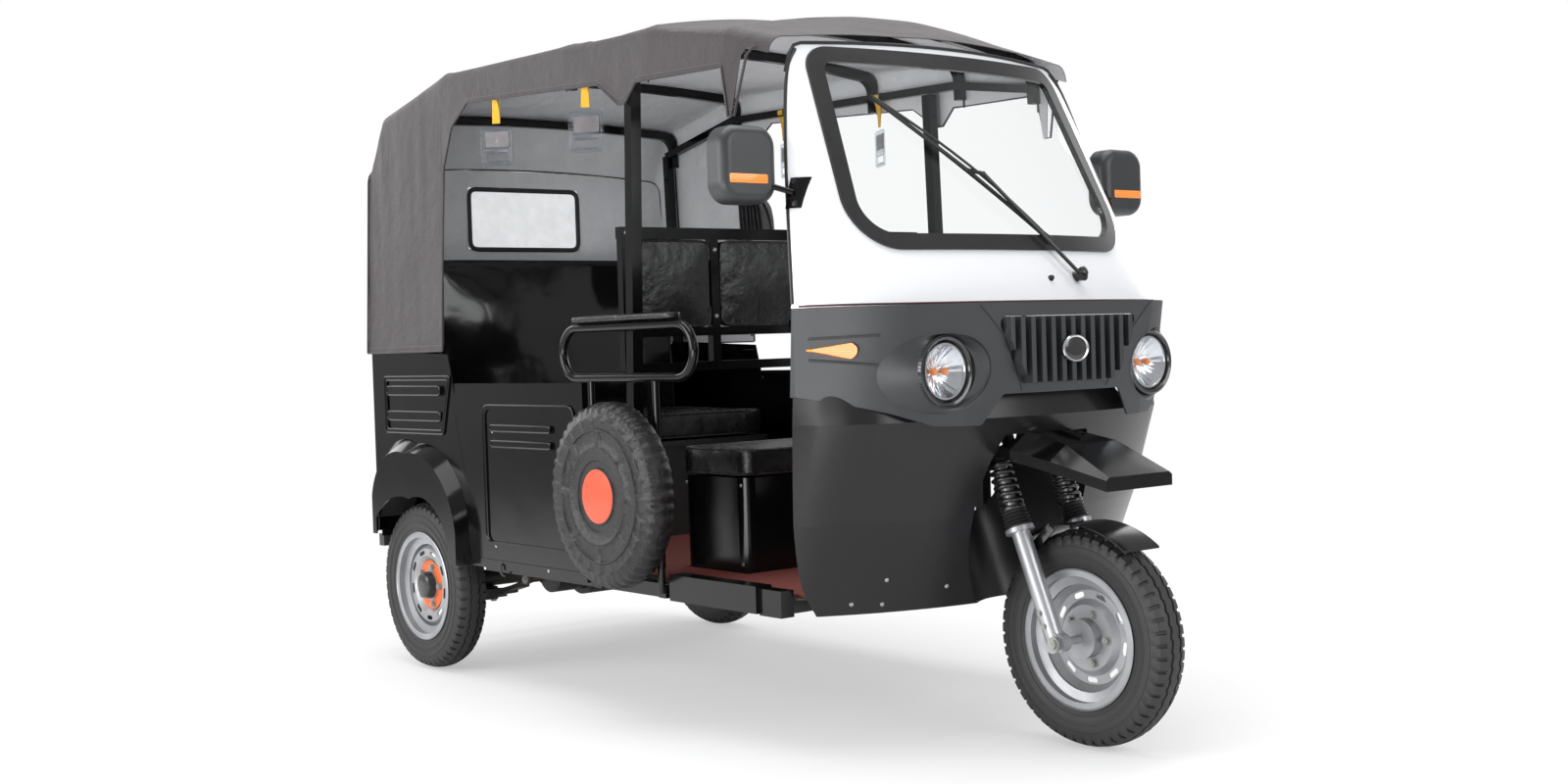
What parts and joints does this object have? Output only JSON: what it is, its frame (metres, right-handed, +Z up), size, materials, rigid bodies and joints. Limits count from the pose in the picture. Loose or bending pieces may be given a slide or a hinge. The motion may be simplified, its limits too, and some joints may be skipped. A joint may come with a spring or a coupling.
{
  "type": "electric tricycle",
  "caption": "Three-wheeled electric passenger vehicle with a driver cab in front, a bench behind, fabric roof on tubes, steered front wheel and two driven rear wheels.",
  "frame": {"origin": "middle of the footprint, on the ground", "axes": "+X forward, +Y to the vehicle's left, +Z up"},
  "size_m": [2.923, 1.5, 1.8859],
  "materials": {
    "black_paint": "gloss",
    "dark_shell": "satin",
    "white_paint": "gloss",
    "grey_plastic": "matte",
    "lamp_case": "gloss",
    "amber_plastic": "gloss",
    "red_plastic": "gloss",
    "clear_glass": "clear",
    "clear_sheet": "milky",
    "clear_plastic": "clear",
    "black_rubber": "matte",
    "tyre": "matte",
    "silver_metal": "satin",
    "spring_steel": "dark",
    "axle_iron": "rough",
    "battery_case": "plain",
    "black_leather": "gloss",
    "spare_cover": "satin",
    "canopy_cloth": "matte",
    "red_mat": "matte"
  },
  "bodies": {
    "root": {"armrest_pads": "black_leather", "battery_pack": "battery_case", "bench_back": "black_leather", "bench_base": "black_paint", "bench_cushion": "black_leather", "canopy": "canopy_cloth", "chassis_frame": "black_paint", "dashboard": "grey_plastic", "driver_seat_box": "black_paint", "driver_seat_cushion": "black_leather", "floor_mat": "red_mat", "floor_pan": "black_paint", "front_mask": "grey_plastic", "front_shell": "dark_shell", "grille": "grey_plastic", "hand_straps": "clear_plastic", "headlamp_lenses": "clear_glass", "headlamps": "lamp_case", "indicator_lamps": "amber_plastic", "leaf_springs": "spring_steel", "mirror_arms": "black_paint", "mirror_housings": "grey_plastic", "nose_guard": "black_paint", "partition_frame": "black_paint", "partition_pads": "black_leather", "quarter_panels": "black_paint", "rear_axle": "axle_iron", "rear_fenders": "black_paint", "rear_lamps": "red_plastic", "rear_window": "clear_sheet", "roof_frame": "black_paint", "side_panels": "black_paint", "side_posts": "black_paint", "side_steps": "black_paint", "spare_wheel_cover": "spare_cover", "tail_panel": "black_paint", "wheel_wells": "black_paint", "windscreen_glass": "clear_glass", "windscreen_panel": "white_paint", "windscreen_rubber": "black_rubber", "wiper": "black_paint"},
    "steering": {"fork_yoke": "black_paint", "fork_legs": "silver_metal", "fork_springs": "spring_steel", "handlebar": "black_paint", "front_mudguard": "black_paint"},
    "front_wheel": {"front_tyre": "tyre", "front_rim": "silver_metal"},
    "rear_wheel_left": {"rear_tyre_left": "tyre", "rear_rim_left": "silver_metal"},
    "rear_wheel_right": {"rear_tyre_right": "tyre", "rear_rim_right": "silver_metal"}
  },
  "joints": [
    {"name": "steering", "type": "hinge", "parent": "root", "child": "steering", "pos_m": [0.95784, 0, 0.7], "axis": [-0.3778, 0, 0.9259], "range_deg": [-38, 38]},
    {"name": "front_wheel_spin", "type": "hinge", "parent": "steering", "child": "front_wheel", "pos_m": [1.1995, 0, 0.262], "axis": [0, 1, 0], "continuous": true},
    {"name": "rear_left_spin", "type": "hinge", "parent": "root", "child": "rear_wheel_left", "pos_m": [-1.0415, 0.562, 0.262], "axis": [0, 1, 0], "continuous": true},
    {"name": "rear_right_spin", "type": "hinge", "parent": "root", "child": "rear_wheel_right", "pos_m": [-1.0415, -0.562, 0.262], "axis": [0, 1, 0], "continuous": true}
  ]
}
